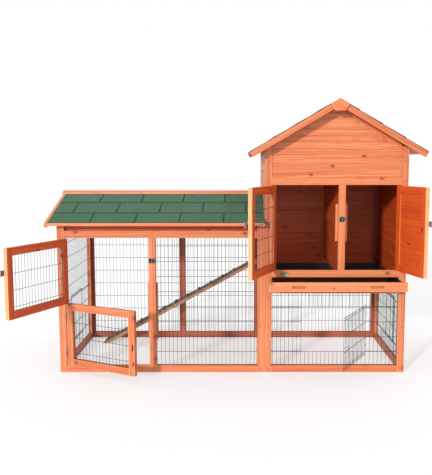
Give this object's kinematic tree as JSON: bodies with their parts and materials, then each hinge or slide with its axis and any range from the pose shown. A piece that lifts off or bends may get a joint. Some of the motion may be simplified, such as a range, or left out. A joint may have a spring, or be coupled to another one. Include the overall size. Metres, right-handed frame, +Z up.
{
  "type": "rabbit hutch",
  "caption": "Timber rabbit hutch: raised house with gabled roof, hinged doors and pull-out tray, joined by a ramp to a low wire-mesh run with a felted roof.",
  "frame": {"origin": "middle of the footprint in the rest pose, at ground level", "axes": "+X to the right along the front, +Y towards the back, +Z up"},
  "size_m": [1.9396, 1.1708, 1.344],
  "materials": {
    "timber": "stained fir, satin",
    "board_timber": "stained fir boards, satin",
    "roof_board": "stained board, satin",
    "ramp_timber": "weathered greenish brown board, matt",
    "roof_felt": "mineral-faced bitumen felt, matt",
    "wire": "welded wire, dark, satin",
    "hardware": "plated steel, dulled",
    "plaque": "blank pressed plate, satin",
    "tray": "black enamel, satin"
  },
  "bodies": {
    "hutch": {"run_front_stiles": "timber", "run_front_rails": "timber", "run_back_frame": "timber", "left_end_frame": "timber", "door_stops": "timber", "run_roof_boards": "roof_board", "run_roof_felt": "roof_felt", "run_ridge_cap": "timber", "run_roof_trims": "timber", "run_roof_bearers": "board_timber", "run_gable_board": "board_timber", "run_front_mesh": "wire", "back_mesh": "wire", "left_end_mesh": "wire", "right_end_mesh": "wire", "lower_front_mesh": "wire", "house_front_posts": "timber", "house_front_rails": "timber", "house_back_frame": "timber", "house_centre_stile": "timber", "right_end_frame": "timber", "house_floor": "board_timber", "house_partition": "board_timber", "house_front_boards": "timber", "house_back_boards": "board_timber", "house_left_wall": "board_timber", "house_right_wall": "board_timber", "house_roof_boards": "roof_board", "house_roof_felt": "roof_felt", "house_rake_boards": "timber", "hinge_frame_leaves": "hardware", "latch_bases": "hardware", "blank_plaque": "plaque", "screw_heads": "hardware", "ramp_hinge": "hardware"},
    "run_upper_door": {"run_upper_door_frame": "timber", "run_upper_door_mesh": "wire", "run_upper_door_hardware": "hardware"},
    "run_lower_door": {"run_lower_door_frame": "timber", "run_lower_door_mesh": "wire", "run_lower_door_hardware": "hardware"},
    "run_lower_button": {"run_lower_door_button": "hardware"},
    "house_left_door": {"house_left_door_frame": "timber", "house_left_door_mesh": "wire", "house_left_door_hardware": "hardware"},
    "house_right_door": {"house_right_door_frame": "timber", "house_right_door_boards": "timber", "house_right_door_hardware": "hardware"},
    "tray": {"tray_front": "timber", "tray_pan": "tray"},
    "front_wire_door": {"front_wire_door": "wire"},
    "front_wire_latch": {"front_wire_latch": "wire"},
    "left_wire_door": {"left_wire_door": "wire"},
    "left_wire_latch": {"left_wire_latch": "wire"},
    "right_wire_door": {"right_wire_door": "wire"},
    "right_wire_latch": {"right_wire_latch": "wire"},
    "run_latch_knob": {"run_latch_knob": "hardware"},
    "house_latch_knob": {"house_latch_knob": "hardware"},
    "ramp": {"ramp_board": "ramp_timber", "ramp_cleats": "timber"}
  },
  "joints": [
    {"name": "run_upper_door_swing", "type": "hinge", "parent": "hutch", "child": "run_upper_door", "pos_m": [-0.78361, -0.18763, 0.513], "axis": [0, 0, -1], "range_deg": [-115, 60]},
    {"name": "run_lower_door_swing", "type": "hinge", "parent": "hutch", "child": "run_lower_door", "pos_m": [-0.78361, -0.18763, 0.194], "axis": [0, 0, -1], "range_deg": [-27.4, 147]},
    {"name": "run_lower_button_turn", "type": "hinge", "parent": "run_lower_door", "child": "run_lower_button", "pos_m": [-0.42877, -0.36987, 0.176], "axis": [-0.4602, -0.8878, 0], "range_deg": [0, 90]},
    {"name": "house_left_door_swing", "type": "hinge", "parent": "hutch", "child": "house_left_door", "pos_m": [0.23439, -0.18763, 0.725], "axis": [0, 0, -1], "range_deg": [-112.6, 10]},
    {"name": "house_right_door_swing", "type": "hinge", "parent": "hutch", "child": "house_right_door", "pos_m": [0.85919, -0.18763, 0.725], "axis": [0, 0, 1], "range_deg": [-105.8, 70]},
    {"name": "tray_slide", "type": "slide", "parent": "hutch", "child": "tray", "axis": [0, -1, 0], "range_m": [-0.1025, 0.34]},
    {"name": "front_wire_door_swing", "type": "hinge", "parent": "hutch", "child": "front_wire_door", "pos_m": [0.70489, -0.17213, 0.216], "axis": [0, 0, 1], "range_deg": [-62, 95]},
    {"name": "front_wire_latch_slide", "type": "slide", "parent": "front_wire_door", "child": "front_wire_latch", "axis": [-0.4695, -0.8829, 0], "range_m": [-0.015, 0.01]},
    {"name": "left_wire_door_swing", "type": "hinge", "parent": "hutch", "child": "left_wire_door", "pos_m": [-0.81321, 0.03537, 0.216], "axis": [0, 0, 1], "range_deg": [0, 110]},
    {"name": "left_wire_latch_slide", "type": "slide", "parent": "left_wire_door", "child": "left_wire_latch", "axis": [0, 1, 0], "range_m": [-0.015, 0.01]},
    {"name": "right_wire_door_swing", "type": "hinge", "parent": "hutch", "child": "right_wire_door", "pos_m": [0.88879, 0.27777, 0.216], "axis": [0, 0, 1], "range_deg": [0, 110]},
    {"name": "right_wire_latch_slide", "type": "slide", "parent": "right_wire_door", "child": "right_wire_latch", "axis": [0, -1, 0], "range_m": [-0.015, 0.01]},
    {"name": "run_latch_turn", "type": "hinge", "parent": "hutch", "child": "run_latch_knob", "pos_m": [-0.35521, -0.18963, 0.563], "axis": [0, -1, 0], "range_deg": [0, 90]},
    {"name": "house_latch_turn", "type": "hinge", "parent": "hutch", "child": "house_latch_knob", "pos_m": [0.57529, -0.19063, 0.768], "axis": [0, -1, 0], "range_deg": [0, 90]},
    {"name": "ramp_lift", "type": "hinge", "parent": "hutch", "child": "ramp", "pos_m": [0.18329, 0.42287, 0.48439], "axis": [0, 1, 0], "range_deg": [0, 10]}
  ]
}
